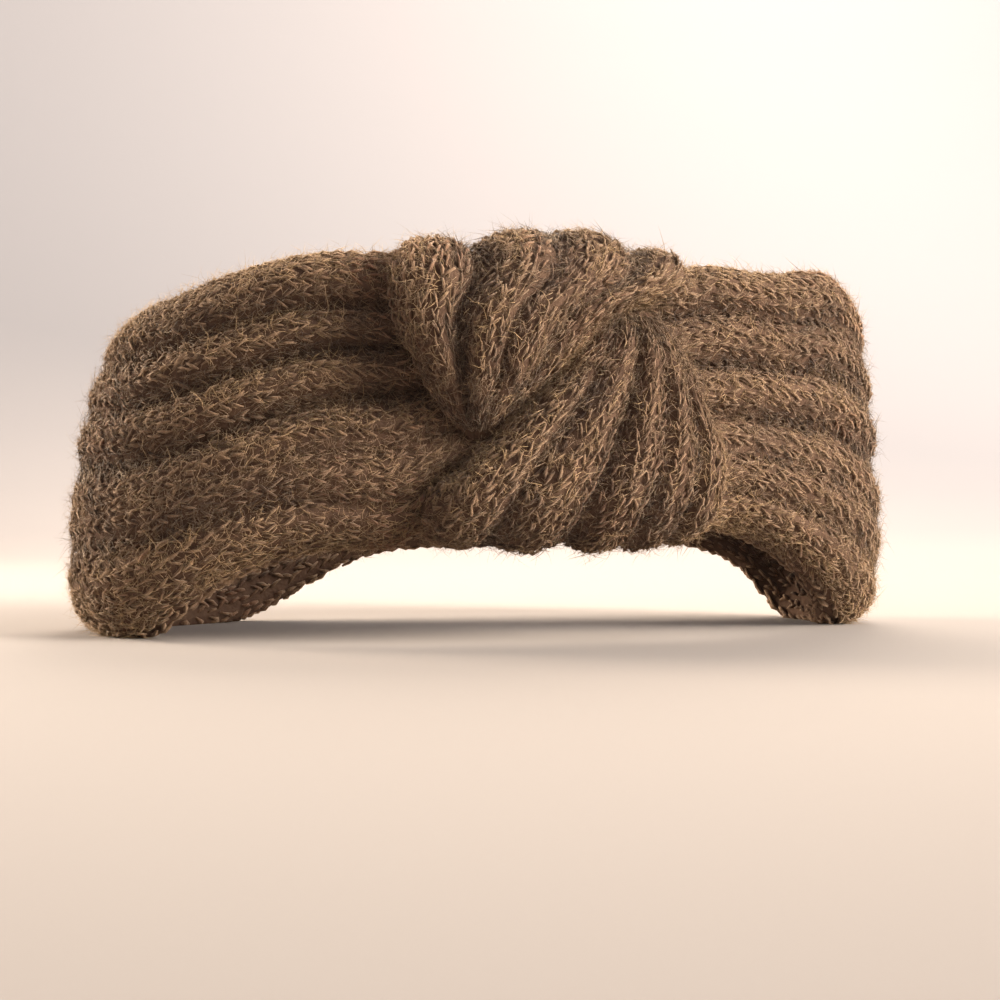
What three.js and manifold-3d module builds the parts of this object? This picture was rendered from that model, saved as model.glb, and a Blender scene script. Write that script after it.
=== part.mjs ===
// A knitted ear warmer headband. A thick doubled band runs round an oval loop in lengthwise folds, and
// at the front it is gathered into a twist of two knitted folds that hook round each other: the upper
// fold comes over the top and runs down to the left, the lower one comes under the foot and runs up to
// the right. Millimetres, +Z up. The twist faces -Y, and the band stands on its lower edge at z = 0.
import * as THREE from "three";
import { mergeVertices } from "three/addons/utils/BufferGeometryUtils.js";
import Module from "manifold-3d";

// The loop, as it stands
const LOOP_WIDTH = 232; // outside, side to side
const LOOP_DEPTH = 130; // outside, front to back, without the twist
const LOOP_SQUARENESS = 2.25; // exponent of the oval, where 2 is an ellipse
const BAND_HEIGHT = 90; // at the sides, foot to crown
const WALL = 14; // the doubled knit, at the crests of its folds
const CROWN_RISE = 8; // how much higher the crown is beside the twist than at the sides
const CROWN_LEAN = 16; // how far the crown leans in at the left side
const FOOT_CURL = 8; // how far the lower edge curls in
const REST_SQUASH = 2.2; // how much of the rounded foot is pressed flat where it stands
const INSIDE_RIB = 0.7; // depth of the ribs on the inside
const EDGE_ROUND = 0.62; // how far the rounding of the band's edges reaches in, as a share of WALL
const LEAN_FROM = 0.3; // the share of the height above which the crown leans in
const LEAN_BEND = 2.6; // how late it does so, where 1 is a straight lean
const CURL_TO = 0.2; // the share of the height below which the foot curls in

// The twist
const TWIST_WIDTH = 84; // across both folds
const TWIST_HEIGHT = 79; // from the foot of the lower fold to the top of the upper one
const TWIST_LIFT = 23.5; // the twist's foot above the surface
const FOLD_THICKNESS = 11; // each of the two folds
const FOLD_EDGE = 9; // radius of a fold's free edge
const DIVING_EDGE = 17; // width over which a fold slopes down under the other
const SEAT_GAP = 0.35; // between the folds and the band that they hold
const CROSSING_GAP = 0.6; // between the two folds
const BAND_END_GAP = 1; // between the band's two gathered ends, inside the twist
const GATHERED_TO = 0.27; // how far from the middle the band is fully gathered, as a share of TWIST_WIDTH
const GATHERING = 0.25; // the length over which it opens out from there, in the same share
const DIVES = { upper: 0.62, lower: 0.46 }; // the level, as in CROSSING, past which a fold starts to dive
const DIVE_LENGTH = 0.2; // the share of TWIST_HEIGHT over which it does so
const THINNEST = 0.05; // a fold's edge, as a share of its fullness
const CREASE_BEND = 1.4; // how sharply a crease's flanks bend, where 2 is a bell curve

// Fineness of the meshes
const LINING_RIBS = 4; // up the inner face of the band
const FRONT_STEP = 4.2; // along the band beside the twist
const BACK_STEP = 8.5; // along the band at the back
const CROSSING_STEPS = 14; // up the front of the twist
const TURN_STEPS = 8; // over the top, or under the foot
const HIDDEN_STEPS = 5; // on the inside of the twist
const FOLD_EDGE_SHARE = 0.09; // of a fold's width that its mesh gives to each rounded edge
const RIB_SHARE = 0.04; // of the inner face's height that its mesh gives to a rib's flank

// Height of the band's edges round the loop, on the left and on the right. place is the share of the
// way from the middle of the front to the middle of the back, foot a share of TWIST_LIFT, crown a
// share of CROWN_RISE above or below the crown at the sides, and lean a share of CROWN_LEAN.
const EDGES = {
  left: [
    { place: 0.0, foot: 1.05, crown: 0.9, lean: 0.1 },
    { place: 0.16, foot: 1.1, crown: 1.0, lean: 0.2 },
    { place: 0.23, foot: 1.06, crown: 0.95, lean: 0.4 },
    { place: 0.31, foot: 0.74, crown: 0.4, lean: 0.6 },
    { place: 0.38, foot: 0.3, crown: -0.15, lean: 0.8 },
    { place: 0.425, foot: 0.07, crown: -0.3, lean: 0.9 },
    { place: 0.49, foot: 0.0, crown: -0.5, lean: 1.0 },
    { place: 0.62, foot: 0.0, crown: -0.3, lean: 0.85 },
    { place: 0.72, foot: 0.06, crown: 0.0, lean: 0.7 },
    { place: 0.79, foot: 0.3, crown: 0.25, lean: 0.6 },
    { place: 0.87, foot: 0.78, crown: 0.5, lean: 0.45 },
    { place: 0.93, foot: 0.98, crown: 0.6, lean: 0.4 },
    { place: 1.0, foot: 1.03, crown: 0.7, lean: 0.4 },
  ],
  right: [
    { place: 0.0, foot: 1.25, crown: 0.9, lean: 0.1 },
    { place: 0.18, foot: 1.3, crown: 0.9, lean: 0.1 },
    { place: 0.24, foot: 1.15, crown: 0.8, lean: 0.1 },
    { place: 0.31, foot: 0.8, crown: 1.05, lean: 0.1 },
    { place: 0.37, foot: 0.4, crown: 0.6, lean: 0.3 },
    { place: 0.42, foot: 0.08, crown: 0.1, lean: 0.5 },
    { place: 0.46, foot: 0.0, crown: -0.3, lean: 0.65 },
    { place: 0.55, foot: 0.02, crown: -0.3, lean: 0.6 },
    { place: 0.59, foot: 0.3, crown: -0.05, lean: 0.5 },
    { place: 0.64, foot: 0.78, crown: 0.05, lean: 0.45 },
    { place: 0.72, foot: 1.05, crown: 0.3, lean: 0.4 },
    { place: 1.0, foot: 1.03, crown: 0.7, lean: 0.4 },
  ],
};

// How deep the band's creases are round the loop, as a share of their depth beside the twist
const CREASE_FADE = [
  { place: 0.0, share: 1.0 },
  { place: 0.3, share: 0.95 },
  { place: 0.42, share: 0.75 },
  { place: 0.52, share: 0.45 },
  { place: 1.0, share: 0.4 },
];

// The creases between the band's folds. The first four columns are a crease's height up the band, as a
// share, at the four PLACES; depth is a share of WALL beside the twist, and width of the band's height.
const PLACES = { near: 0.16, middle: 0.3, side: 0.5, back: 1.0 };
const CREASES = {
  left: [
    { near: 0.15, middle: 0.2, side: 0.28, back: 0.22, depth: 0.26, width: 0.045 },
    { near: 0.33, middle: 0.33, side: 0.4, back: 0.37, depth: 0.14, width: 0.045 },
    { near: 0.52, middle: 0.47, side: 0.52, back: 0.52, depth: 0.54, width: 0.052 },
    { near: 0.68, middle: 0.65, side: 0.68, back: 0.67, depth: 0.44, width: 0.045 },
    { near: 0.82, middle: 0.81, side: 0.82, back: 0.82, depth: 0.32, width: 0.042 },
  ],
  right: [
    { near: 0.14, middle: 0.16, side: 0.2, back: 0.22, depth: 0.28, width: 0.045 },
    { near: 0.28, middle: 0.3, side: 0.36, back: 0.37, depth: 0.2, width: 0.04 },
    { near: 0.42, middle: 0.46, side: 0.52, back: 0.52, depth: 0.42, width: 0.05 },
    { near: 0.62, middle: 0.65, side: 0.68, back: 0.67, depth: 0.36, width: 0.045 },
    { near: 0.82, middle: 0.82, side: 0.82, back: 0.82, depth: 0.28, width: 0.042 },
  ],
};

// The line where the two folds meet on the front. rise is a share of TWIST_HEIGHT and across of half
// of TWIST_WIDTH, to the right of the middle.
const CROSSING = [
  { rise: 0.0, across: -0.84 },
  { rise: 0.11, across: -0.77 },
  { rise: 0.23, across: -0.62 },
  { rise: 0.36, across: -0.4 },
  { rise: 0.54, across: -0.06 },
  { rise: 0.64, across: 0.09 },
  { rise: 0.76, across: 0.33 },
  { rise: 0.87, across: 0.76 },
  { rise: 0.95, across: 0.86 },
  { rise: 1.0, across: 0.86 },
];

// The free edge of each fold on the front, in the same shares, with the fold's fullness there as a
// share of FOLD_THICKNESS. The upper fold's first row and the lower fold's last are their tips.
const UPPER_EDGE = [
  { rise: 0.35, across: -0.54, fullness: 0.1 },
  { rise: 0.4, across: -0.63, fullness: 0.5 },
  { rise: 0.5, across: -0.76, fullness: 0.85 },
  { rise: 0.64, across: -0.89, fullness: 1.12 },
  { rise: 0.76, across: -0.96, fullness: 1.1 },
  { rise: 1.0, across: -1.0, fullness: 1.0 },
];
const LOWER_EDGE = [
  { rise: 0.0, across: 0.96, fullness: 1.0 },
  { rise: 0.28, across: 0.99, fullness: 1.12 },
  { rise: 0.44, across: 0.88, fullness: 1.18 },
  { rise: 0.63, across: 0.74, fullness: 1.0 },
  { rise: 0.71, across: 0.64, fullness: 0.65 },
  { rise: 0.765, across: 0.56, fullness: 0.1 },
];
const HIDDEN_NARROWING = 0.3; // how much narrower a fold is where it ends on the inside

// How full each fold is across its width. at is the share across it from its left edge.
const FULLNESS = {
  upper: [
    { at: 0.0, share: 0.8 },
    { at: 0.14, share: 0.9 },
    { at: 0.5, share: 1.2 },
    { at: 0.7, share: 1.15 },
    { at: 0.9, share: 0.85 },
    { at: 1.0, share: 0.7 },
  ],
  lower: [
    { at: 0.0, share: 0.8 },
    { at: 0.2, share: 1.0 },
    { at: 0.6, share: 1.1 },
    { at: 1.0, share: 1.0 },
  ],
};

// Creases that run along each fold. depth is a share of FOLD_THICKNESS, and width of the fold's width.
const FOLD_CREASES = {
  upper: [
    { at: 0.27, depth: 0.5, width: 0.055 },
    { at: 0.53, depth: 0.3, width: 0.045 },
    { at: 0.79, depth: 0.5, width: 0.05 },
  ],
  lower: [
    { at: 0.24, depth: 0.28, width: 0.05 },
    { at: 0.5, depth: 0.46, width: 0.055 },
    { at: 0.7, depth: 0.3, width: 0.04 },
    { at: 0.86, depth: 0.36, width: 0.04 },
  ],
};

// Heights and half widths that several pieces share
const TWIST_TOP = TWIST_LIFT + TWIST_HEIGHT;
const CORE_FOOT = TWIST_LIFT + FOLD_THICKNESS + SEAT_GAP;
const CORE_CROWN = TWIST_TOP - FOLD_THICKNESS - SEAT_GAP;
const SEAT = WALL / 2 + SEAT_GAP; // the folds' inner face, out from the middle of the band's wall
const TURN_FOOT = TWIST_LIFT + FOLD_THICKNESS + SEAT;
const TURN_TOP = TWIST_TOP - FOLD_THICKNESS - SEAT;
const HALF_WIDTH = (LOOP_WIDTH - WALL) / 2;
const HALF_DEPTH = (LOOP_DEPTH - WALL) / 2;

const clamp = (t) => Math.min(1, Math.max(0, t));
const smooth = (t) => clamp(t) ** 2 * (3 - 2 * clamp(t));
const mix = (a, b, t) => a + (b - a) * t;

// A column of a table at a place between its rows, on a smooth curve through them.
function follow(rows, key, at, column) {
  const last = rows.length - 1;
  if (at <= rows[0][key]) return rows[0][column];
  if (at >= rows[last][key]) return rows[last][column];
  const i = rows.findIndex((row) => row[key] > at) - 1;
  const slope = (a, b) => (rows[b][column] - rows[a][column]) / (rows[b][key] - rows[a][key]);
  const span = rows[i + 1][key] - rows[i][key];
  const leave = i > 0 ? slope(i - 1, i + 1) : slope(i, i + 1);
  const arrive = i + 1 < last ? slope(i, i + 2) : slope(i, i + 1);
  const t = (at - rows[i][key]) / span;
  return (
    (2 * t ** 3 - 3 * t ** 2 + 1) * rows[i][column] +
    (t ** 3 - 2 * t ** 2 + t) * span * leave +
    (3 * t ** 2 - 2 * t ** 3) * rows[i + 1][column] +
    (t ** 3 - t ** 2) * span * arrive
  );
}

// The oval that the middle of the wall follows, measured along its length from the front's middle.
const OVAL_SAMPLES = 2880;
const oval = Array.from({ length: OVAL_SAMPLES + 1 }, (_, i) => {
  const turn = (2 * Math.PI * i) / OVAL_SAMPLES;
  const power = (value) => Math.sign(value) * Math.abs(value) ** (2 / LOOP_SQUARENESS);
  return new THREE.Vector2(HALF_WIDTH * power(Math.sin(turn)), -HALF_DEPTH * power(Math.cos(turn)));
});
const lengths = [0];
for (let i = 1; i <= OVAL_SAMPLES; i++) lengths.push(lengths[i - 1] + oval[i].distanceTo(oval[i - 1]));
const LOOP_LENGTH = lengths[OVAL_SAMPLES];

// The point that is `along` the oval (to the right of the front's middle), `out` from it and `up`.
function place(along, out, up) {
  const length = THREE.MathUtils.euclideanModulo(along, LOOP_LENGTH);
  let low = 0;
  let high = OVAL_SAMPLES;
  while (high - low > 1) {
    const middle = (low + high) >> 1;
    if (lengths[middle] > length) high = middle;
    else low = middle;
  }
  const share = (length - lengths[low]) / (lengths[high] - lengths[low]);
  const at = oval[low].clone().lerp(oval[high], share);
  const power = LOOP_SQUARENESS - 1;
  const steepness = (value, half) => (Math.sign(value) * Math.abs(value / half) ** power) / half;
  const normal = new THREE.Vector2(steepness(at.x, HALF_WIDTH), steepness(at.y, HALF_DEPTH)).normalize();
  return new THREE.Vector3(at.x + normal.x * out, at.y + normal.y * out, up);
}

// A closed surface through rings of points, with a fan over each end.
function loft(rings) {
  const count = rings[0].length;
  const points = rings.flat();
  const faces = [];
  for (let r = 0; r + 1 < rings.length; r++) {
    for (let i = 0; i < count; i++) {
      const a = r * count + i;
      const b = r * count + ((i + 1) % count);
      faces.push(a, b, b + count, a, b + count, a + count);
    }
  }
  const cap = (start, flipped) => {
    const middle = new THREE.Vector3();
    for (let i = 0; i < count; i++) middle.addScaledVector(points[start + i], 1 / count);
    points.push(middle);
    for (let i = 0; i < count; i++) {
      const a = start + i;
      const b = start + ((i + 1) % count);
      faces.push(points.length - 1, flipped ? b : a, flipped ? a : b);
    }
  };
  cap(0, true);
  cap((rings.length - 1) * count, false);
  return new THREE.BufferGeometry().setFromPoints(points).setIndex(faces);
}

// The depth that creases have in all at a share of the way across a strip.
function creaseDepth(creases, share) {
  const away = (crease) => Math.abs(share - crease.at) / crease.width;
  return creases.reduce((sum, crease) => sum + crease.depth * Math.exp(-(away(crease) ** CREASE_BEND)), 0);
}

// How full a strip is at a distance in from one rounded edge, from 0 at the edge to 1.
function roundness(distance, radius) {
  return Math.sqrt(1 - (1 - clamp(distance / radius)) ** 2);
}

// The shares across a strip at which its surface bends: its two rounded edges, its creases, and the
// middles of the rolls between them.
function bends(edge, creases) {
  const edges = [0, 0.13, 0.5, 1].map((t) => t * edge);
  const valleys = [edge, ...creases.map((c) => c.at), 1 - edge];
  const middles = valleys.slice(1).map((at, i) => (at + valleys[i]) / 2);
  const flanks = creases.flatMap((c) => [-1, 0, 1].map((t) => c.at + t * c.width));
  return [...edges, ...edges.map((t) => 1 - t), ...middles, ...flanks].sort((a, b) => a - b);
}

// The band's creases at one place round the loop.
function creasesAt(side, share) {
  const fade = follow(CREASE_FADE, "place", share, "share");
  return CREASES[side].map((crease) => {
    const route = Object.entries(PLACES).map(([name, at]) => ({ at, height: crease[name] }));
    const at = follow(route, "at", share, "height");
    return { at, depth: crease.depth * WALL * fade, width: crease.width };
  });
}

// One ring of the band's wall, `along` the loop, grown by `growth` all round.
function bandRing(along, growth) {
  const share = Math.abs(along) / (LOOP_LENGTH / 2);
  const side = along < 0 ? "left" : "right";
  const gathered = 1 - smooth((Math.abs(along) / TWIST_WIDTH - GATHERED_TO) / GATHERING);
  const looseFoot = TWIST_LIFT * follow(EDGES[side], "place", share, "foot");
  const looseCrown = BAND_HEIGHT + CROWN_RISE * follow(EDGES[side], "place", share, "crown");
  const foot = mix(looseFoot - REST_SQUASH, CORE_FOOT, gathered) - growth;
  const crown = mix(looseCrown, CORE_CROWN, gathered) + growth;
  const height = crown - foot;
  const edge = (WALL * EDGE_ROUND) / height;
  const lean = CROWN_LEAN * follow(EDGES[side], "place", share, "lean");
  const creases = creasesAt(side, share);

  const halfAt = (rise) => (WALL / 2 + growth) * roundness(Math.min(rise, 1 - rise), edge);
  const leanAt = (rise) => lean * clamp((rise - LEAN_FROM) / (1 - LEAN_FROM)) ** LEAN_BEND;
  const inwards = (rise) => leanAt(rise) + FOOT_CURL * clamp(1 - rise / CURL_TO) ** 2;
  const faceAt = (rise) => {
    const depth = creaseDepth(creases, rise) * clamp(Math.min(rise, 1 - rise) / edge);
    return [halfAt(rise) - depth - inwards(rise), foot + height * rise];
  };
  const liningAt = (rise) => {
    const wave = (1 - Math.cos(2 * Math.PI * rise * LINING_RIBS)) / 2;
    const rib = INSIDE_RIB * wave * (halfAt(rise) / halfAt(0.5));
    return [rib - halfAt(rise) - inwards(rise), foot + height * rise];
  };
  const ribNumbers = Array.from({ length: LINING_RIBS }, (_, rib) => rib);
  const ribs = ribNumbers.map((rib) => ({ at: (rib + 0.5) / LINING_RIBS, width: RIB_SHARE }));
  const liningRises = bends(edge, ribs).slice(1, -1);
  const outline = [...bends(edge, creases).map(faceAt), ...thin(liningRises).reverse().map(liningAt)];
  return outline.map(([out, up]) => place(along, out, Math.max(up, -growth)));
}

// Every second value of a list, with its first and last two kept.
function thin(values) {
  return values.filter((_, i) => i < 2 || i > values.length - 3 || i % 2 === 0);
}

// The band, from one gathered end round the back to the other.
function bandGeometry(growth = 0) {
  const half = LOOP_LENGTH / 2;
  const stations = [];
  let along = BAND_END_GAP / 2 - growth;
  while (along < half - BACK_STEP / 2) {
    stations.push(along);
    along += mix(FRONT_STEP, BACK_STEP, smooth((along / half - 0.15) / 0.5));
  }
  const leftToRight = [...stations.map((s) => -s), half, ...stations.reverse()];
  return loft(leftToRight.map((s) => bandRing(s, growth)));
}

// The stations of a fold's path from its tip on the front, over its turn and down the inside: the
// inner face's place (out, up), the direction in which the fold is thick, the level that its outer
// face has reached as a share of TWIST_HEIGHT, and how far it is hidden.
function foldPath(tipRise, isUpper) {
  const turnHeight = isUpper ? TURN_TOP : TURN_FOOT;
  const seam = (TURN_FOOT + TURN_TOP) / 2 + (isUpper ? 1 : -1) * (CROSSING_GAP / 2);
  const levelAt = (up) => clamp((up - TWIST_LIFT) / TWIST_HEIGHT);
  const stations = [];
  const heightAt = (step) => mix(TURN_FOOT, TURN_TOP, step / CROSSING_STEPS);
  const heights = Array.from({ length: CROSSING_STEPS + 1 }, (_, step) => heightAt(step));
  const isPastTip = (up) => (isUpper ? levelAt(up) > tipRise + 0.01 : levelAt(up) < tipRise - 0.01);
  const fromTip = (isUpper ? heights : heights.reverse()).filter(isPastTip);
  const climb = [TWIST_LIFT + TWIST_HEIGHT * tipRise, ...fromTip];
  for (const up of climb) stations.push({ out: SEAT, up, outwards: [1, 0], level: levelAt(up), hidden: 0 });
  for (let i = 1; i <= TURN_STEPS; i++) {
    const turn = (Math.PI * i) / TURN_STEPS;
    const outwards = [Math.cos(turn), Math.sin(turn) * (isUpper ? 1 : -1)];
    const reach = (SEAT + FOLD_THICKNESS) * Math.sin(Math.min(turn, Math.PI / 2)) * (isUpper ? 1 : -1);
    const up = turnHeight + SEAT * outwards[1];
    stations.push({ out: SEAT * outwards[0], up, outwards, level: levelAt(turnHeight + reach), hidden: 0 });
  }
  for (let i = 1; i <= HIDDEN_STEPS; i++) {
    const hidden = i / HIDDEN_STEPS;
    const up = mix(turnHeight, seam, hidden);
    stations.push({ out: -SEAT, up, outwards: [-1, 0], level: isUpper ? 1 : 0, hidden });
  }
  return stations;
}

// One of the two folds: a thick knitted strip, rounded at its free edge, that narrows to a tip where
// it slopes down under the other one.
function foldGeometry(isUpper) {
  const freeEdge = isUpper ? UPPER_EDGE : LOWER_EDGE;
  const fullnessAcross = FULLNESS[isUpper ? "upper" : "lower"];
  const creases = FOLD_CREASES[isUpper ? "upper" : "lower"];
  const tipRise = isUpper ? UPPER_EDGE[0].rise : LOWER_EDGE[LOWER_EDGE.length - 1].rise;
  const halfTwist = TWIST_WIDTH / 2;
  const shares = bends(FOLD_EDGE_SHARE, creases);

  const ring = ({ out, up, outwards, level, hidden }) => {
    const narrowing = 1 - HIDDEN_NARROWING * smooth(hidden);
    const free = halfTwist * follow(freeEdge, "rise", level, "across") * narrowing;
    const gap = (isUpper ? -1 : 1) * (CROSSING_GAP / 2);
    const crossing = halfTwist * follow(CROSSING, "rise", level, "across") * narrowing + gap;
    const [left, right] = isUpper ? [free, crossing] : [crossing, free];
    const fullness = FOLD_THICKNESS * follow(freeEdge, "rise", level, "fullness");
    const dives = smooth((isUpper ? DIVES.upper - level : level - DIVES.lower) / DIVE_LENGTH);
    const crossingEdge = mix(FOLD_EDGE, DIVING_EDGE, dives);

    const thickness = (share, along) => {
      const freeRound = roundness(Math.abs(along - free), FOLD_EDGE);
      const crossingRound = roundness(Math.abs(along - crossing), crossingEdge);
      const crease = creaseDepth(creases, share) * (1 - hidden / 2);
      const full = follow(fullnessAcross, "at", share, "share") - THINNEST - crease;
      return fullness * (THINNEST + freeRound * crossingRound * full);
    };
    const outer = shares.map((share) => {
      const along = mix(left, right, share);
      const h = thickness(share, along);
      return place(along, out + outwards[0] * h, up + outwards[1] * h);
    });
    const inner = shares.filter((_, i) => i % 4 === 0).reverse();
    return [...outer, ...inner.map((share) => place(mix(left, right, share), out, up))];
  };
  const rings = foldPath(tipRise, isUpper).map(ring);
  return loft(isUpper ? rings : rings.reverse());
}

// Cutting one closed geometry by another
const wasm = await Module();
wasm.setup();

function solid(geometry) {
  const merged = mergeVertices(geometry, 1e-4);
  const indices = merged.index.array;
  const kept = [];
  for (let i = 0; i < indices.length; i += 3) {
    const [a, b, c] = indices.slice(i, i + 3);
    if (a !== b && b !== c && a !== c) kept.push(a, b, c);
  }
  const vertProperties = new Float32Array(merged.attributes.position.array);
  return new wasm.Manifold(new wasm.Mesh({ numProp: 3, vertProperties, triVerts: new Uint32Array(kept) }));
}

function geometryOf(shape) {
  const mesh = shape.getMesh();
  const geometry = new THREE.BufferGeometry();
  geometry.setAttribute("position", new THREE.BufferAttribute(new Float32Array(mesh.vertProperties), 3));
  geometry.setIndex(new THREE.BufferAttribute(new Uint32Array(mesh.triVerts), 1));
  geometry.computeVertexNormals();
  return geometry;
}

// The largest piece that is left of a fold once the band's room is cut out of it.
function seatedOnBand(geometry, bandRoom) {
  const pieces = solid(geometry).subtract(bandRoom).decompose();
  return geometryOf(pieces.reduce((a, b) => (a.volume() > b.volume() ? a : b)));
}

const yarn = (color) => new THREE.MeshStandardMaterial({ color, roughness: 0.95, metalness: 0 });

function piece(name, geometry, material) {
  const mesh = new THREE.Mesh(geometry, material);
  mesh.name = name;
  return mesh;
}

const bandRoom = solid(bandGeometry(SEAT_GAP));
const headband = new THREE.Group();
headband.add(
  piece("band", geometryOf(solid(bandGeometry())), yarn(0x54402f)),
  piece("twist_upper_fold", seatedOnBand(foldGeometry(true), bandRoom), yarn(0x6a523c)),
  piece("twist_lower_fold", seatedOnBand(foldGeometry(false), bandRoom), yarn(0x644c37)),
);
const middle = new THREE.Box3().setFromObject(headband).getCenter(new THREE.Vector3());
headband.position.set(-middle.x, -middle.y, 0);

export default headband;
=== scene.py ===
import bmesh
import bpy
import numpy as np
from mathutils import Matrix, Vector
from mathutils.bvhtree import BVHTree


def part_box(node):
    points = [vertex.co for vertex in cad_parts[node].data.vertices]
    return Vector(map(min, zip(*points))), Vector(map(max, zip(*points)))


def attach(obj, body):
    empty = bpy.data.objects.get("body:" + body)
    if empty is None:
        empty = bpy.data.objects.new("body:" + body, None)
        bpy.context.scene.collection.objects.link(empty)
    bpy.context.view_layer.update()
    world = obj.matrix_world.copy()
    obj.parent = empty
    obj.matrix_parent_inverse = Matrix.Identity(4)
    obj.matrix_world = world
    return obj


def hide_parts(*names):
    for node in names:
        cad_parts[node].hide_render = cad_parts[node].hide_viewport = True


MM = 0.001
SEED = 7
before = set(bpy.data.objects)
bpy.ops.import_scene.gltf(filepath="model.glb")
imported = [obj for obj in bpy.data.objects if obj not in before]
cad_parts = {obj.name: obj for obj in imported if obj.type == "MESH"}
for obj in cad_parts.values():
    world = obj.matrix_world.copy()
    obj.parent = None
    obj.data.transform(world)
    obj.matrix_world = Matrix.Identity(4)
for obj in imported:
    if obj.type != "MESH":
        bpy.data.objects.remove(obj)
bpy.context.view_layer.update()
rng = np.random.default_rng(SEED)


# The yarn: thick, soft mohair-blend yarn, plied from loosely twisted strands and brushed, so that long
# fibres stand out of it. It is flecked from dark cocoa to tan, with a little russet.
YARN_DARK = (0.055, 0.034, 0.027)
YARN_MIDDLE = (0.135, 0.081, 0.053)
YARN_LIGHT = (0.2, 0.124, 0.075)
YARN_RUSSET = (0.2, 0.088, 0.055)
# painted shade: the darkest colour of the matted ground between the stitches, darker than the yarn for the
# shade down there
GROUND_COLOUR = (0.07, 0.042, 0.031)
# the fibres' own brown, painted lighter than the yarn's as painted light, for the light that loose fibres
# catch
FIBRE_DARK = (0.055, 0.034, 0.027)
FIBRE_MIDDLE = (0.198, 0.121, 0.069)
FIBRE_LIGHT = (0.38, 0.245, 0.122)
CURL_SCALE = 1250.0  # of the noise that stands for the strands' curls, about one to a millimetre
CURL_CONTRAST = 0.22  # how much they lighten or darken the yarn
CURL_RELIEF = 0.5 * MM
RUSSET_SCALE = 38.0  # of the patches that took the dye redder
RUSSET_MOST = 0.5
MATTING_SCALE = 700.0
MATTING_RELIEF = 0.6 * MM
YARN_SHEEN_TINT = (0.85, 0.66, 0.48, 1)
FIBRE_SHEEN_TINT = (0.95, 0.72, 0.48, 1)


def new_material(name):
    """An empty node material: its tree, its Principled shader and a function that adds a node."""
    material = bpy.data.materials.new(name)
    material.use_nodes = True
    tree = material.node_tree
    shader = tree.nodes["Principled BSDF"]

    def add(kind, **values):
        node = tree.nodes.new(kind)
        for key, value in values.items():
            if key in node.inputs:
                node.inputs[key].default_value = value
            else:
                setattr(node, key, value)
        return node

    return material, tree, shader, add


def colour_steps(node, steps):
    """Sets a colour ramp's stops to (place, colour) pairs."""
    ramp = node.color_ramp
    while len(ramp.elements) > 1:
        ramp.elements.remove(ramp.elements[-1])
    ramp.elements[0].position, first = steps[0]
    ramp.elements[0].color = (*first, 1)
    for place, colour in steps[1:]:
        ramp.elements.new(place).color = (*colour, 1)


def mixed(add, tree, factor, first, second):
    """The colour output of a mix of two sockets or colours, by a socket."""
    mix = add("ShaderNodeMix", data_type="RGBA")
    tree.links.new(factor, mix.inputs[0])
    for slot, colour in ((6, first), (7, second)):
        if isinstance(colour, bpy.types.NodeSocket):
            tree.links.new(colour, mix.inputs[slot])
        else:
            mix.inputs[slot].default_value = (*colour, 1)
    return mix.outputs[2]


def yarn_material():
    """Plied, brushed yarn. An attribute of the mesh holds how light each stitch is: its own tone, with
    painted shade in the folds and painted light on their crests.
    """
    material, tree, shader, add = new_material("brushed_yarn")
    link = tree.links.new
    place = add("ShaderNodeTexCoord").outputs["Object"]
    curls = add("ShaderNodeTexNoise", Scale=CURL_SCALE, Detail=3.0, Roughness=0.6, Distortion=0.6)
    link(place, curls.inputs["Vector"])
    spread = add("ShaderNodeMapRange", **{"From Min": 0.36, "From Max": 0.64})
    spread.inputs["To Min"].default_value = -CURL_CONTRAST
    spread.inputs["To Max"].default_value = CURL_CONTRAST
    link(curls.outputs["Fac"], spread.inputs["Value"])
    fleck_and_shading = add("ShaderNodeAttribute", attribute_name="fleck_and_shading").outputs["Fac"]
    lightness = add("ShaderNodeMath", operation="ADD")
    link(fleck_and_shading, lightness.inputs[0])
    link(spread.outputs["Result"], lightness.inputs[1])
    tones = add("ShaderNodeValToRGB")
    colour_steps(tones, [(0.0, YARN_DARK), (0.5, YARN_MIDDLE), (1.0, YARN_LIGHT)])
    link(lightness.outputs["Value"], tones.inputs["Fac"])
    dyeing = add("ShaderNodeTexNoise", Scale=RUSSET_SCALE, Detail=3.0)
    link(place, dyeing.inputs["Vector"])
    russet = add("ShaderNodeMapRange", **{"From Min": 0.52, "From Max": 0.72, "To Max": RUSSET_MOST})
    link(dyeing.outputs["Fac"], russet.inputs["Value"])
    colour = mixed(add, tree, russet.outputs["Result"], tones.outputs["Color"], YARN_RUSSET)
    link(colour, shader.inputs["Base Color"])
    bump = add("ShaderNodeBump", Strength=1.0, Distance=CURL_RELIEF)
    link(curls.outputs["Fac"], bump.inputs["Height"])
    link(bump.outputs["Normal"], shader.inputs["Normal"])
    shader.inputs["Roughness"].default_value = 0.92
    shader.inputs["Sheen Weight"].default_value = 0.4
    shader.inputs["Sheen Roughness"].default_value = 0.5
    shader.inputs["Sheen Tint"].default_value = YARN_SHEEN_TINT
    shader.inputs["Specular IOR Level"].default_value = 0.15
    return material


def ground_material():
    """The matted fibre between the stitches, darker because little light reaches it."""
    material, tree, shader, add = new_material("matted_ground")
    link = tree.links.new
    place = add("ShaderNodeTexCoord").outputs["Object"]
    matting = add("ShaderNodeTexNoise", Scale=MATTING_SCALE, Detail=6.0)
    link(place, matting.inputs["Vector"])
    link(mixed(add, tree, matting.outputs["Fac"], GROUND_COLOUR, YARN_MIDDLE), shader.inputs["Base Color"])
    bump = add("ShaderNodeBump", Strength=0.8, Distance=MATTING_RELIEF)
    link(matting.outputs["Fac"], bump.inputs["Height"])
    link(bump.outputs["Normal"], shader.inputs["Normal"])
    shader.inputs["Roughness"].default_value = 0.95
    shader.inputs["Specular IOR Level"].default_value = 0.1
    return material


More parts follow.
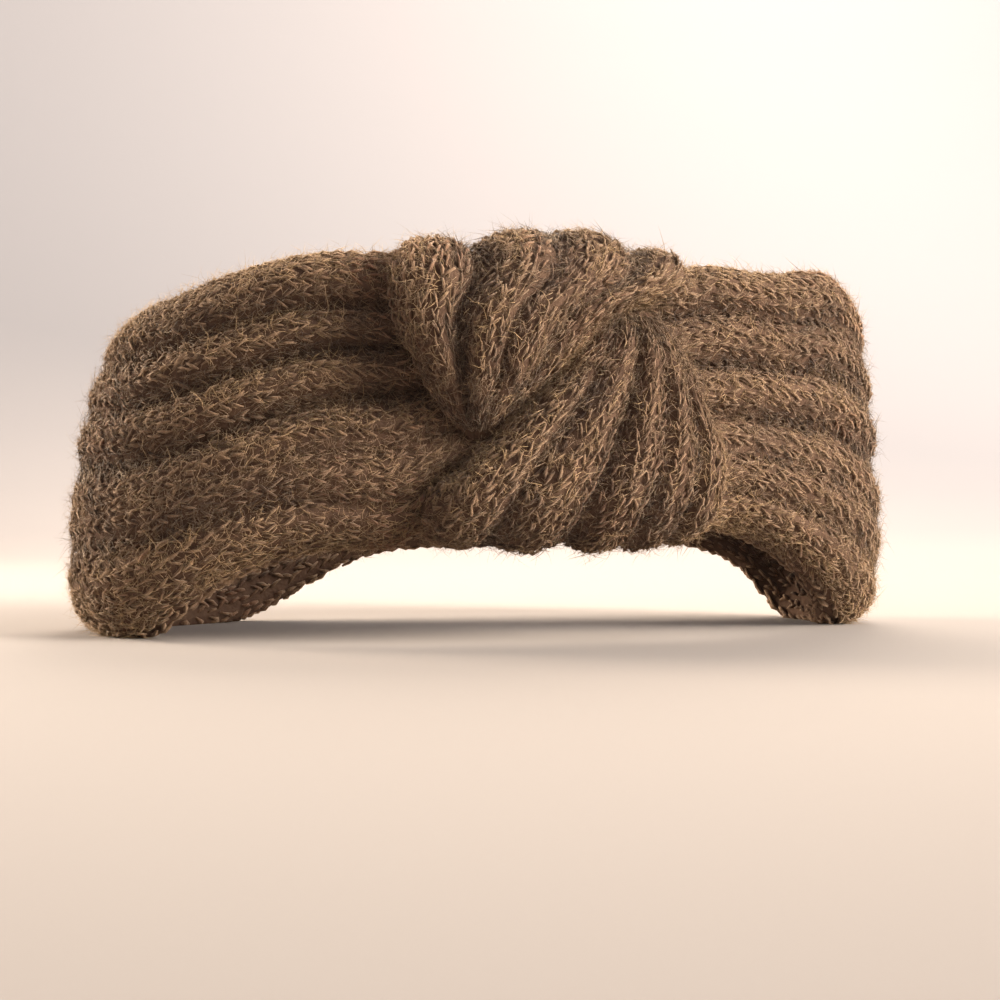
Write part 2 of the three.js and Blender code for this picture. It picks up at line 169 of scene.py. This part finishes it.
def fibre_material():
    """The loose fibres, painted lighter than the yarn that they stand out of as painted light, for the
    light that they catch.
    """
    material, tree, shader, add = new_material("mohair_fibre")
    link = tree.links.new
    fleck_and_shading = add("ShaderNodeAttribute", attribute_name="fleck_and_shading").outputs["Fac"]
    tones = add("ShaderNodeValToRGB")
    colour_steps(tones, [(0.0, FIBRE_DARK), (0.5, FIBRE_MIDDLE), (1.0, FIBRE_LIGHT)])
    link(fleck_and_shading, tones.inputs["Fac"])
    link(tones.outputs["Color"], shader.inputs["Base Color"])
    shader.inputs["Roughness"].default_value = 0.55
    shader.inputs["Specular IOR Level"].default_value = 0.35
    shader.inputs["Sheen Weight"].default_value = 0.4
    shader.inputs["Sheen Roughness"].default_value = 0.4
    shader.inputs["Sheen Tint"].default_value = FIBRE_SHEEN_TINT
    return material


BRUSHED_YARN = yarn_material()
MATTED_GROUND = ground_material()
MOHAIR_FIBRE = fibre_material()


# The band: one long strip of stockinette, doubled to about 14 mm, with its columns of stitches running
# round the head. It is knitted first, folded lengthwise and then drawn together at the front.
BAND_WALL = 14 * MM
LOOP_SQUARENESS = 2.25  # exponent of the oval, where 2 is an ellipse
BAND_COLUMNS = 44  # round the doubled strip
TWIST_HIDES = 20 * MM  # from the middle of the twist, where the band is out of sight inside it

# A stitch is a V of two legs, each of a few plies twisted together. Shares are of the stitch's own
# width and row, and the turns are in radians.
STITCH_ROW = 3.9 * MM  # along a column
STITCH_WIDTH = 5.2 * MM  # a column, of two legs
STITCH_SIZES = (0.45, 1.1)  # the least and most that a narrow or wide column's stitches shrink or grow
LEG_THICKNESS = 0.95 * MM  # radius at a leg's middle
LEG_START = -0.1  # along the column, a little before the stitch's own row
LEG_LENGTH = 0.95
LEG_ARCH = 0.75  # how high a leg's middle stands, in the same measure as LEG_THICKNESS
LEG_SUNK = 0.15  # how far its ends sink into the ground
V_FOOT = 0.06  # how far a leg starts to the side of the column's middle
V_SPREAD = 0.32  # how much farther out it ends
PLIES = 2
PLY_THICKNESS = 0.62 * MM
PLY_APART = 0.55 * MM  # from the leg's middle
PLY_TURN = 2.2  # along a leg
PLY_END = 0.35  # a ply's thickness towards its ends
PLY_ROUGHNESS = (0.7, 1.2)  # the least and most of its thickness by chance
UNEVEN = {"turn": 0.5, "sway": 0.1, "veer": 0.2, "start": 0.12, "tone": 0.08}
PLY_SIDES = 3
PLY_RINGS = 3

# The fibres that brushing has raised: a nap that lies nearly flat, and a thin halo that stands out of it.
# area is the knit's area for each fibre in square millimetres, the lengths and the radius are in
# millimetres, flattest and steepest are degrees from the knit, stray is how far a fibre's heading strays
# in radians, and curl is how far it bends, as a share of its length.
NAP = {
    "area": 2.3, "shortest": 1.8, "longest": 5.2, "flattest": 0, "steepest": 32,
    "stray": 1.0, "curl": 1.4, "radius": 0.085,
}
HALO = {
    "area": 2.1, "shortest": 2.0, "longest": 5.4, "flattest": 30, "steepest": 85,
    "stray": 1.3, "curl": 1.4, "radius": 0.034,
}
WORN_AT_BACK = 1.25  # the area for each fibre where hair has rubbed the nap, as a share of it elsewhere
LEG_LEAN = 0.4  # how far a V's legs lean from the column, in radians
ROOT_HEIGHT = 0.8  # of a fibre's root above the ground, as a share of LEG_THICKNESS
FIBRE_TAPER = 0.3
DROOP = (-0.9, 0.15)  # how far a fibre's end hangs down or curls up, against its rise
# painted highlights: the share of fibres painted lighter as glints, and how much lighter
PAINTED_GLINT = {"share": 0.06, "lighter": 0.25}  # the few fibres that shine
# painted light: how much lighter a fibre is painted than the yarn, besides its own random tone
FIBRE_PAINTED_LIGHT = 0.06  # than the yarn that a fibre stands out of
# painted shade: how much darker a fibre is painted midway between one column's legs and the next's
BETWEEN_LEGS_PAINTED_SHADE = 0.2
FIBRE_SIDES = 3
FIBRE_RINGS = 3

# How light the yarn is, from 0 to 1: the stitches that one level is averaged over to each side, and how
# far the dye's patches, the single stitches and the depth of a fold change it. The depth of a fold is
# painted
# shade and light: darker down in a fold and lighter on its crest.
MIDDLE_TONE = 0.5
LEVEL_REACH = 3
PATCH_ROWS = 3
PATCH_COLUMNS = 2
PATCH_SPREAD = 0.12
STITCH_SPREAD = 0.06
DEEP = 1.5 * MM  # the depth below that level, or height above it, past which the tone stays the same
# painted shade and light: how much darker the yarn is painted down in a fold, and lighter on a crest
FOLD_PAINTED_SHADE = 0.36


def knit_ground(node, name):
    """A smooth copy of a CAD piece: the matted knit that the stitches and fibres lie on."""
    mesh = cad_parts[node].data.copy()
    shell = bmesh.new()
    shell.from_mesh(mesh)
    bmesh.ops.remove_doubles(shell, verts=shell.verts, dist=0.01 * MM)
    shell.to_mesh(mesh)
    shell.free()
    ground = bpy.data.objects.new(name, mesh)
    bpy.context.scene.collection.objects.link(ground)
    mesh.materials.clear()
    mesh.materials.append(MATTED_GROUND)
    mesh.polygons.foreach_set("use_smooth", np.ones(len(mesh.polygons), bool))
    return ground


def surface_of(ground):
    """A tree of a mesh's faces that rays can be cast at."""
    corners = [v.co for v in ground.data.vertices]
    return BVHTree.FromPolygons(corners, [list(p.vertices) for p in ground.data.polygons])


def cast(surface, start, direction, reach):
    """Where a ray from start first meets the surface, or None."""
    hit = surface.ray_cast(Vector(start), Vector(direction), reach)[0]
    return None if hit is None else np.array(hit)


def evenly(points, count, closed):
    """count points at even distances along a line of points."""
    line = np.vstack([points, points[:1]]) if closed else np.array(points)
    lengths = np.concatenate([[0], np.cumsum(np.linalg.norm(np.diff(line, axis=0), axis=1))])
    at = np.linspace(0, lengths[-1], count, endpoint=not closed)
    return np.stack([np.interp(at, lengths, line[:, k]) for k in range(3)], axis=1)


def unit(vectors):
    """Vectors of a (row, column, xyz) array, each brought to length 1."""
    return vectors / np.maximum(np.linalg.norm(vectors, axis=2, keepdims=True), 1e-12)


def grid_directions(grid, closed):
    """Unit vectors along the columns, across them and out of the surface, at each point of a grid."""
    along = np.gradient(grid, axis=0)
    if closed:
        across = (np.roll(grid, -1, axis=1) - np.roll(grid, 1, axis=1)) / 2
    else:
        across = np.gradient(grid, axis=1)
    outwards = np.cross(along, across)
    return unit(along), unit(across), unit(outwards)


def tubes(name, spines, normals, radii, fleck_and_shading, sides, material, pointed=False):
    """One mesh of many tapered tubes, none of which reaches below the surface that the headband stands
    on. spines and normals are (tube, ring, xyz), radii (tube, ring), and a pointed tube ends in a point."""
    count, rings, _ = spines.shape
    spines[:, :, 2] = np.maximum(spines[:, :, 2], radii)
    forward = unit(np.gradient(spines, axis=1))
    sideways = unit(np.cross(forward, normals))
    up = np.cross(sideways, forward)
    turn = np.linspace(0, 2 * np.pi, sides, endpoint=False)
    ring = np.cos(turn)[:, None] * sideways[:, :, None] + np.sin(turn)[:, None] * up[:, :, None]
    points = spines[:, :, None] + ring * radii[:, :, None, None]
    index = np.arange(count * rings * sides).reshape(count, rings, sides)
    if pointed:
        points[:, -1] = spines[:, -1:]
        index = index - (sides - 1) * np.arange(count)[:, None, None]
        index[:, -1] = index[:, -1, :1]
    used = np.unique(index, return_index=True)[1]
    a, b = index[:, :-1], index[:, 1:]
    if pointed:
        tips = np.stack([a[:, -1], np.roll(a[:, -1], -1, 1), b[:, -1]], axis=-1).reshape(-1, 3)
        a, b = a[:, :-1], b[:, :-1]
        ends = index[:, 0, ::-1]
    else:
        tips = np.empty((0, 3), int)
        ends = np.concatenate([index[:, 0, ::-1], index[:, -1]])
    quads = np.stack([a, np.roll(a, -1, 2), np.roll(b, -1, 2), b], axis=-1).reshape(-1, 4)
    mesh = bpy.data.meshes.new(name)
    loops = np.concatenate([quads.ravel(), tips.ravel(), ends.ravel()])
    sizes = np.concatenate([np.full(len(quads), 4), np.full(len(tips), 3), np.full(len(ends), sides)])
    mesh.vertices.add(len(used))
    mesh.vertices.foreach_set("co", points.reshape(-1, 3)[used].ravel())
    mesh.loops.add(len(loops))
    mesh.loops.foreach_set("vertex_index", loops.astype(np.int32))
    mesh.polygons.add(len(sizes))
    mesh.polygons.foreach_set("loop_start", np.concatenate([[0], np.cumsum(sizes)[:-1]]).astype(np.int32))
    mesh.polygons.foreach_set("use_smooth", np.ones(len(sizes), bool))
    mesh.update(calc_edges=True)
    shade = mesh.attributes.new("fleck_and_shading", "FLOAT", "POINT")
    shade.data.foreach_set("value", np.repeat(fleck_and_shading, rings * sides)[used].astype(np.float32))
    mesh.materials.append(material)
    mesh.validate()
    piece = bpy.data.objects.new(name, mesh)
    bpy.context.scene.collection.objects.link(piece)
    return piece


def tone_and_shading_of(grid, closed):
    """How light the yarn is at each point of a grid, from 0 to 1: patchy, with painted shade down in the
    folds and painted light on their crests.
    """
    rows, columns = grid.shape[:2]
    if closed:
        before, after = grid[:, -LEVEL_REACH:], grid[:, :LEVEL_REACH]
    else:
        before, after = grid[:, :1].repeat(LEVEL_REACH, 1), grid[:, -1:].repeat(LEVEL_REACH, 1)
    padded = np.concatenate([before, grid, after], axis=1)
    window = 2 * LEVEL_REACH + 1
    level = sum(padded[:, k:k + columns] for k in range(window)) / window
    depth = np.sum((level - grid) * grid_directions(grid, closed)[2], axis=2)
    depth = np.clip((depth - np.median(depth)) / DEEP, -1, 1)
    patches = rng.normal(0, PATCH_SPREAD, (rows // PATCH_ROWS + 1, columns // PATCH_COLUMNS + 1))
    patches = patches.repeat(PATCH_ROWS, axis=0).repeat(PATCH_COLUMNS, axis=1)[:rows, :columns]
    # the yarn's own patches and flecks, with painted shade down in the folds and painted light on their
    # crests
    return MIDDLE_TONE + patches + rng.normal(0, STITCH_SPREAD, depth.shape) - FOLD_PAINTED_SHADE * depth


def knit(name, grid, closed, plies, tone, chosen):
    """Stockinette over a grid of (row, column, xyz): in each chosen cell a V of two yarn legs that open in
    the direction of knitting and dip under the next row's. A leg is a few plies twisted together."""
    along, across, outwards = grid_directions(grid, closed)
    steps = np.linalg.norm(np.diff(grid, axis=0), axis=2)
    if closed:
        widths = np.linalg.norm(np.roll(grid, -1, 1) - grid, axis=2)
    else:
        widths = np.linalg.norm(np.gradient(grid, axis=1), axis=2)
    r, c = (index.repeat(2 * plies) for index in np.nonzero(chosen[:-1]))
    count = len(r)
    side = np.tile(np.repeat([-1.0, 1.0], plies), count // (2 * plies))[:, None]
    turn = np.tile(np.arange(plies) * 2 * np.pi / plies, count // plies)[:, None]
    turn = turn + rng.normal(0, UNEVEN["turn"], (count, 1))
    t = np.linspace(0, 1, PLY_RINGS)[None]
    step, width = steps[r, c][:, None], widths[r, c][:, None]
    size = np.clip(width / STITCH_WIDTH, *STITCH_SIZES)
    apart = 0 if plies == 1 else size * PLY_APART
    sway = rng.normal(0, UNEVEN["sway"], (2, count // plies, 1)).repeat(plies, axis=1)
    veer = rng.normal(0, UNEVEN["veer"], (count, 1))
    ply_turn = turn + PLY_TURN * t
    aside = side * (V_FOOT + V_SPREAD * t) + sway[0] + veer * (t - 0.5)
    sideways = width * aside + apart * np.cos(ply_turn)
    start = LEG_START + sway[1] + rng.normal(0, UNEVEN["start"], (count, 1))
    forwards = step * (start + LEG_LENGTH * t)
    arch = LEG_ARCH * np.sin(np.pi * (0.12 + 0.8 * t)) - LEG_SUNK
    lift = size * LEG_THICKNESS * arch + apart * np.sin(ply_turn)
    spines = (
        grid[r, c][:, None]
        + along[r, c][:, None] * forwards[:, :, None]
        + across[r, c][:, None] * sideways[:, :, None]
        + outwards[r, c][:, None] * lift[:, :, None]
    )
    normals = np.broadcast_to(outwards[r, c][:, None], spines.shape)
    thickness = LEG_THICKNESS if plies == 1 else PLY_THICKNESS
    fullness = PLY_END + (1 - PLY_END) * np.sin(np.pi * (0.1 + 0.8 * t))
    radii = size * thickness * fullness * rng.uniform(*PLY_ROUGHNESS, (count, PLY_RINGS))
    # the tone holds the yarn's own patches, with painted shade in the folds and painted light on their
    # crests
    fleck_and_shading = np.clip(tone[r, c] + rng.normal(0, UNEVEN["tone"], count), 0, 1)
    return tubes(name, spines, normals, radii, fleck_and_shading, PLY_SIDES, BRUSHED_YARN)


def brush(name, grid, closed, kind, tone, chosen, worn=1.0):
    """Fine fibres of one kind, raised along the knitting in the chosen cells of a grid. Where the knit is
    worn, each fibre has that many times the area."""
    along, across, outwards = grid_directions(grid, closed)
    beside = np.roll(grid, -1, axis=1) if closed else np.concatenate([grid[:, 1:], grid[:, -1:]], axis=1)
    areas = np.linalg.norm(np.diff(grid, axis=0), axis=2) * np.linalg.norm(beside - grid, axis=2)[:-1]
    areas = areas * chosen[:-1]
    count = int(areas.sum() / (worn * kind["area"] * MM ** 2))
    r, c = np.divmod(rng.choice(areas.size, count, p=areas.ravel() / areas.sum()), grid.shape[1])
    u, v = rng.random((2, count, 1))
    near = grid[r, c] * (1 - u) + grid[r + 1, c] * u
    far = beside[r, c] * (1 - u) + beside[r + 1, c] * u
    root = near * (1 - v) + far * v + outwards[r, c] * LEG_THICKNESS * ROOT_HEIGHT
    leg = np.where(v < 0.5, LEG_LEAN, -LEG_LEAN)
    heading = leg + rng.normal(0, kind["stray"], (count, 1)) + np.pi * rng.integers(0, 2, (count, 1))
    lying = np.cos(heading) * along[r, c] + np.sin(heading) * across[r, c]
    rise = np.radians(rng.uniform(kind["flattest"], kind["steepest"], (count, 1)))
    length = rng.uniform(kind["shortest"], kind["longest"], (count, 1)) * MM
    forward = lying * np.cos(rise) + outwards[r, c] * np.sin(rise)
    sideways = np.cross(outwards[r, c], lying) * rng.uniform(-1, 1, (count, 1))
    droop = outwards[r, c] * rng.uniform(*DROOP, (count, 1)) * np.sin(rise)
    bend = kind["curl"] * (sideways + droop)
    t = np.linspace(0, 1, FIBRE_RINGS)[None, :, None]
    spines = root[:, None] + length[:, None] * (forward[:, None] * t + bend[:, None] * t ** 2)
    normals = np.broadcast_to(outwards[r, c][:, None], spines.shape)
    radii = kind["radius"] * MM * np.broadcast_to(1 - FIBRE_TAPER * t[:, :, 0], (count, FIBRE_RINGS))
    # painted shade in the gap between columns
    painted_shade_between_legs = BETWEEN_LEGS_PAINTED_SHADE * np.sin(np.pi * v[:, 0])
    # painted highlights on a few fibres
    painted_glint = PAINTED_GLINT["lighter"] * (rng.random(count) < PAINTED_GLINT["share"])
    lighter = rng.normal(FIBRE_PAINTED_LIGHT, UNEVEN["tone"], count)
    # a fibre's lightness: the yarn's own tone, with painted shade in folds and between columns, painted
    # light on crests and painted glints
    fleck_and_shading = np.clip(tone[r, c] + lighter - painted_shade_between_legs + painted_glint, 0, 1)
    return tubes(name, spines, normals, radii, fleck_and_shading, FIBRE_SIDES, MOHAIR_FIBRE, pointed=True)


def finish_piece(piece, *nodes):
    """The piece moves with the headband and stands for the named CAD pieces."""
    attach(piece, "root")
    if nodes:
        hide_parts(*nodes)


band_low, band_high = (np.array(corner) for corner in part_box("band"))
loop_middle = (band_low + band_high) / 2
loop_half = (band_high - band_low)[:2] / 2 - BAND_WALL / 2
UP = np.array([0, 0, 1.0])
PATH_POINTS = 721
WALL_SEARCH = (-30, 12, 2.0)  # from, to and step across the wall, in millimetres, where the crown may be
FACE_STEP = 1.0 * MM
FACES_HEAD = 10 * MM  # how far towards the loop's middle a point of the lining has to face
FAR_OUT = 60 * MM  # clear of the wall on either side
FAR_UP = 150 * MM
FAR_DOWN = 20 * MM
EDGE_REACH = 25 * MM  # clear of the wall's rounded edge
EDGE_RAYS = 16


def loop_point(turn):
    """The middle of the band's wall at a turn from the front's middle, and the way out of the loop."""
    power = lambda value: np.sign(value) * abs(value) ** (2 / LOOP_SQUARENESS)
    x, y = loop_half[0] * power(np.sin(turn)), -loop_half[1] * power(np.cos(turn))
    slope = lambda value, half: np.sign(value) * abs(value / half) ** (LOOP_SQUARENESS - 1) / half
    out = np.array([slope(x, loop_half[0]), slope(y, loop_half[1]), 0])
    return np.array([loop_middle[0] + x, loop_middle[1] + y, 0]), out / np.linalg.norm(out)


def band_section(surface, turn):
    """The outline of the band's wall at one turn: up its outer face, over the crown, down the inside."""
    middle, out = loop_point(turn)
    offsets = np.arange(*WALL_SEARCH) * MM
    tops = [cast(surface, middle + out * o + UP * FAR_UP, -UP, FAR_UP) for o in offsets]
    feet = [cast(surface, middle + out * o - UP * FAR_DOWN, UP, FAR_UP) for o in offsets]
    crown = max((p for p in tops if p is not None), key=lambda p: p[2])
    foot = min((p for p in feet if p is not None), key=lambda p: p[2])
    edge = BAND_WALL / 2
    heights = np.arange(foot[2] + edge, crown[2] - edge, FACE_STEP)
    reach = FAR_OUT * 1.5
    face = [cast(surface, middle + out * FAR_OUT + UP * h, -out, reach) for h in heights]
    lining = [cast(surface, middle - out * FAR_OUT + UP * h, out, reach) for h in heights[::-1]]
    fans = []
    for end, start in ((crown - UP * edge, 0), (foot + UP * edge, np.pi)):
        turns = np.linspace(start, start + np.pi, EDGE_RAYS)[1:-1]
        ways = [out * np.cos(a) + UP * np.sin(a) for a in turns]
        fans.append([cast(surface, end + way * EDGE_REACH, -way, EDGE_REACH) for way in ways])
    outline = [*face, *fans[0], *lining, *fans[1]]
    return np.array([p for p in outline if p is not None])


def band_grid(surface, columns):
    """Points over the whole band, in rows a stitch apart round the loop and columns up and over it."""
    turns = np.linspace(0, 2 * np.pi, PATH_POINTS)
    path = np.array([loop_point(turn)[0] for turn in turns])
    lengths = np.concatenate([[0], np.cumsum(np.linalg.norm(np.diff(path, axis=0), axis=1))])
    rows = int((lengths[-1] - 2 * TWIST_HIDES) / STITCH_ROW)
    at = np.linspace(TWIST_HIDES, lengths[-1] - TWIST_HIDES, rows)
    sections = [band_section(surface, np.interp(length, lengths, turns)) for length in at]
    return np.array([evenly(section, columns, True) for section in sections])


band_ground = knit_ground("band", "band_knit_ground")
finish_piece(band_ground, "band")
band_cells = band_grid(surface_of(band_ground), BAND_COLUMNS)
band_outwards = grid_directions(band_cells, True)[2]
inwards = np.sum((loop_middle - band_cells)[:, :, :2] * band_outwards[:, :, :2], axis=2)
faces_head = inwards > FACES_HEAD
at_back = band_cells[:, :, 1] > loop_middle[1]
at_left = band_cells[:, :, 0] < 0
# the band's own patchy tone, with painted shade in its folds and painted light on their crests
band_tone_and_shading = tone_and_shading_of(band_cells, True)
finish_piece(knit("band_stitches_inside", band_cells, True, 1, band_tone_and_shading, faces_head))
parts = {
    "front_left": ~at_back & at_left, "front_right": ~at_back & ~at_left,
    "back_left": at_back & at_left, "back_right": at_back & ~at_left,
}
for part, in_part in parts.items():
    outside = in_part & ~faces_head
    worn = WORN_AT_BACK if part.startswith("back") else 1.0
    finish_piece(knit(f"band_stitches_{part}", band_cells, True, PLIES, band_tone_and_shading, outside))
    finish_piece(brush(f"band_nap_{part}", band_cells, True, NAP, band_tone_and_shading, outside, worn))
    finish_piece(brush(f"band_halo_{part}", band_cells, True, HALO, band_tone_and_shading, outside, worn))


# The twist: the strip's two ends hooked round each other at the front. The upper fold comes over the
# top and fans down to the left; the lower fold comes from under the foot and fans up to the right.
TWIST_COLUMNS = 22
ROUND_STATIONS = 60  # over the top, or under the foot
STATION_STEP = 1.0 * MM  # up the front and down the hidden side
TIP_START = 0.6 * MM  # from a fold's very tip
CAST_STEP = 0.8  # across a fold, in millimetres
CAST_WIDTH = 48  # to each side of the middle, in millimetres, clear of the folds
FOLD_REACH = 55 * MM  # clear of a fold's face
CORE_CLEARANCE = 8 * MM  # where a ray stops, short of the twist's middle
FLANK_DEPTHS = (1.5, 3, 4.5, 6)  # down from a fold's edge, in millimetres
FLANK_REACH = 8 * MM  # clear of a fold's flank


def twist_path(is_upper):
    """Points on the twist's core and the ways out of it, along a fold from its tip to its hidden end."""
    node = "twist_upper_fold" if is_upper else "twist_lower_fold"
    other = "twist_lower_fold" if is_upper else "twist_upper_fold"
    low, high = (np.array(corner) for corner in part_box(node))
    other_low, other_high = (np.array(corner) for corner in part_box(other))
    core_y = (min(low[1], other_low[1]) + max(high[1], other_high[1])) / 2
    turn_radius = (high[1] - low[1]) / 2
    sign = 1 if is_upper else -1
    tip = low[2] if is_upper else high[2]
    turn_height = high[2] - turn_radius if is_upper else low[2] + turn_radius
    front = np.arange(tip + sign * TIP_START, turn_height, sign * STATION_STEP)
    stations = [(np.array([0, core_y, h]), np.array([0, -1.0, 0])) for h in front]
    for turn in np.linspace(0, np.pi, ROUND_STATIONS)[1:-1]:
        way = np.array([0, -np.cos(turn), sign * np.sin(turn)])
        stations.append((np.array([0, core_y, turn_height]), way))
    hidden_end = low[2] if is_upper else high[2]
    for h in np.arange(turn_height, hidden_end, -sign * STATION_STEP):
        stations.append((np.array([0, core_y, h]), np.array([0, 1.0, 0])))
    return stations


def flank_of(surface, edge, way, side):
    """Points down the flank of a fold, from its edge inwards."""
    sideways = np.array([side, 0, 0])
    starts = [edge + sideways * FLANK_REACH - way * depth * MM for depth in FLANK_DEPTHS]
    hits = [cast(surface, start, -sideways, 2 * FLANK_REACH) for start in starts]
    return [p for p in hits if p is not None]


def fold_grid(surface, is_upper):
    """Points over one fold, in rows along the knitting and columns across it."""
    across = np.arange(-CAST_WIDTH, CAST_WIDTH + 0.01, CAST_STEP) * MM
    reach = FOLD_REACH - CORE_CLEARANCE
    rows = []
    for core, way in twist_path(is_upper):
        starts = [core + np.array([x, 0, 0]) + way * FOLD_REACH for x in across]
        hits = [cast(surface, start, -way, reach) for start in starts]
        line = [p for p in hits if p is not None]
        if len(line) > 3:
            left_flank = flank_of(surface, line[0], way, -1)
            right_flank = flank_of(surface, line[-1], way, 1)
            rows.append(evenly(np.array([*left_flank[::-1], *line, *right_flank]), TWIST_COLUMNS, False))
    fine = np.array(rows)
    length = np.linalg.norm(np.diff(fine, axis=0), axis=2).sum(axis=0).mean()
    count = int(length / STITCH_ROW)
    grid = np.stack([evenly(fine[:, c], count, False) for c in range(TWIST_COLUMNS)], axis=1)
    grid = grid if is_upper else grid[::-1]
    return grid[:, ::-1]


for side, is_upper in (("upper", True), ("lower", False)):
    fold_ground = knit_ground(f"twist_{side}_fold", f"twist_{side}_knit_ground")
    finish_piece(fold_ground, f"twist_{side}_fold")
    fold_cells = fold_grid(surface_of(fold_ground), is_upper)
    # the fold's own patchy tone, with painted shade in its creases and painted light on their crests
    fold_tone_and_shading = tone_and_shading_of(fold_cells, False)
    whole_fold = np.ones(fold_cells.shape[:2], bool)
    finish_piece(knit(f"twist_{side}_stitches", fold_cells, False, PLIES, fold_tone_and_shading, whole_fold))
    finish_piece(brush(f"twist_{side}_nap", fold_cells, False, NAP, fold_tone_and_shading, whole_fold))
    finish_piece(brush(f"twist_{side}_halo", fold_cells, False, HALO, fold_tone_and_shading, whole_fold))


# The room: a pale sweep of card under soft studio light. Two warm windows behind the headband show up
# the halo, and the sweep's back has lights of its own, so that it is brightest on the right.
SWEEP_COLOUR = (0.325, 0.288, 0.27)
SWEEP_HALF_WIDTH = 2.5
SWEEP_FRONT = -4.0
SWEEP_BACK = 0.7
SWEEP_HEIGHT = 2.6
SWEEP_ROUND = 1.3
SWEEP_BENDS = 13
WORLD_COLOUR = (0.9, 0.93, 1.0, 1)
WORLD_STRENGTH = 0.33

profile = [(SWEEP_FRONT, 0.0)]
for turn in np.linspace(0, np.pi / 2, SWEEP_BENDS):
    profile.append((SWEEP_BACK + SWEEP_ROUND * np.sin(turn), SWEEP_ROUND * (1 - np.cos(turn))))
profile.append((SWEEP_BACK + SWEEP_ROUND, SWEEP_HEIGHT))
corners = [(x, y, z) for x in (-SWEEP_HALF_WIDTH, SWEEP_HALF_WIDTH) for y, z in profile]
count = len(profile)
faces = [(i, i + 1, count + i + 1, count + i) for i in range(count - 1)]
sweep_mesh = bpy.data.meshes.new("sweep")
sweep_mesh.from_pydata(corners, [], faces)
sweep_mesh.flip_normals()
sweep_mesh.polygons.foreach_set("use_smooth", np.ones(len(faces), bool))
sweep = bpy.data.objects.new("sweep", sweep_mesh)
bpy.context.scene.collection.objects.link(sweep)
card, _, card_shader, _ = new_material("pale_card")
card_shader.inputs["Base Color"].default_value = (*SWEEP_COLOUR, 1)
card_shader.inputs["Roughness"].default_value = 0.85
sweep_mesh.materials.append(card)


def area_light(name, place, target, size, power, colour, spread=180):
    """A square soft light that faces a point, its beam spread in degrees."""
    data = bpy.data.lights.new(name, "AREA")
    data.size = size
    data.energy = power
    data.spread = np.radians(spread)
    data.color = colour
    light = bpy.data.objects.new(name, data)
    light.location = place
    light.rotation_euler = (Vector(target) - Vector(place)).to_track_quat("-Z", "Y").to_euler()
    bpy.context.scene.collection.objects.link(light)


HEADBAND = (0, 0, 0.05)
area_light("window_behind", (0.3, 0.7, 0.75), HEADBAND, 0.7, 15, (1.0, 0.86, 0.7))
area_light("window_left", (-1.0, 0.8, 0.35), HEADBAND, 0.5, 6.6, (1.0, 0.84, 0.66), 60)
area_light("soft_above", (0.5, -0.6, 1.2), HEADBAND, 0.6, 5.6, (1.0, 0.94, 0.88))
area_light("soft_right", (1.0, -0.7, 0.45), HEADBAND, 0.9, 8.4, (1.0, 0.9, 0.77), 45)
area_light("backdrop_right", (0.9, 0.6, 1.6), (1.7, 2.0, 0.6), 0.9, 84, (1.0, 0.97, 0.94))
area_light("backdrop_left", (-0.9, 0.6, 1.6), (-1.4, 2.0, 1.0), 0.9, 30, (1.0, 0.97, 0.95))

world = bpy.data.worlds.new("room")
bpy.context.scene.world = world
world.use_nodes = True
background = world.node_tree.nodes["Background"]
background.inputs["Color"].default_value = WORLD_COLOUR
background.inputs["Strength"].default_value = WORLD_STRENGTH


# The camera: level, a little above the surface and to the left of the twist, as in the photo.
CAMERA_TURN = np.radians(-16)
CAMERA_DISTANCE = 520 * MM
CAMERA_HEIGHT = 36 * MM
CAMERA_LENS = 66.67
CAMERA_SHIFT = 0.004

camera_data = bpy.data.cameras.new("camera")
camera_data.lens = CAMERA_LENS
camera_data.shift_x = CAMERA_SHIFT
camera = bpy.data.objects.new("camera", camera_data)
camera.location.x = CAMERA_DISTANCE * np.sin(CAMERA_TURN)
camera.location.y = -CAMERA_DISTANCE * np.cos(CAMERA_TURN)
camera.location.z = CAMERA_HEIGHT
camera.rotation_euler = (np.pi / 2, 0, CAMERA_TURN)
bpy.context.scene.collection.objects.link(camera)
bpy.context.scene.camera = camera
bpy.context.scene.view_settings.view_transform = "Standard"
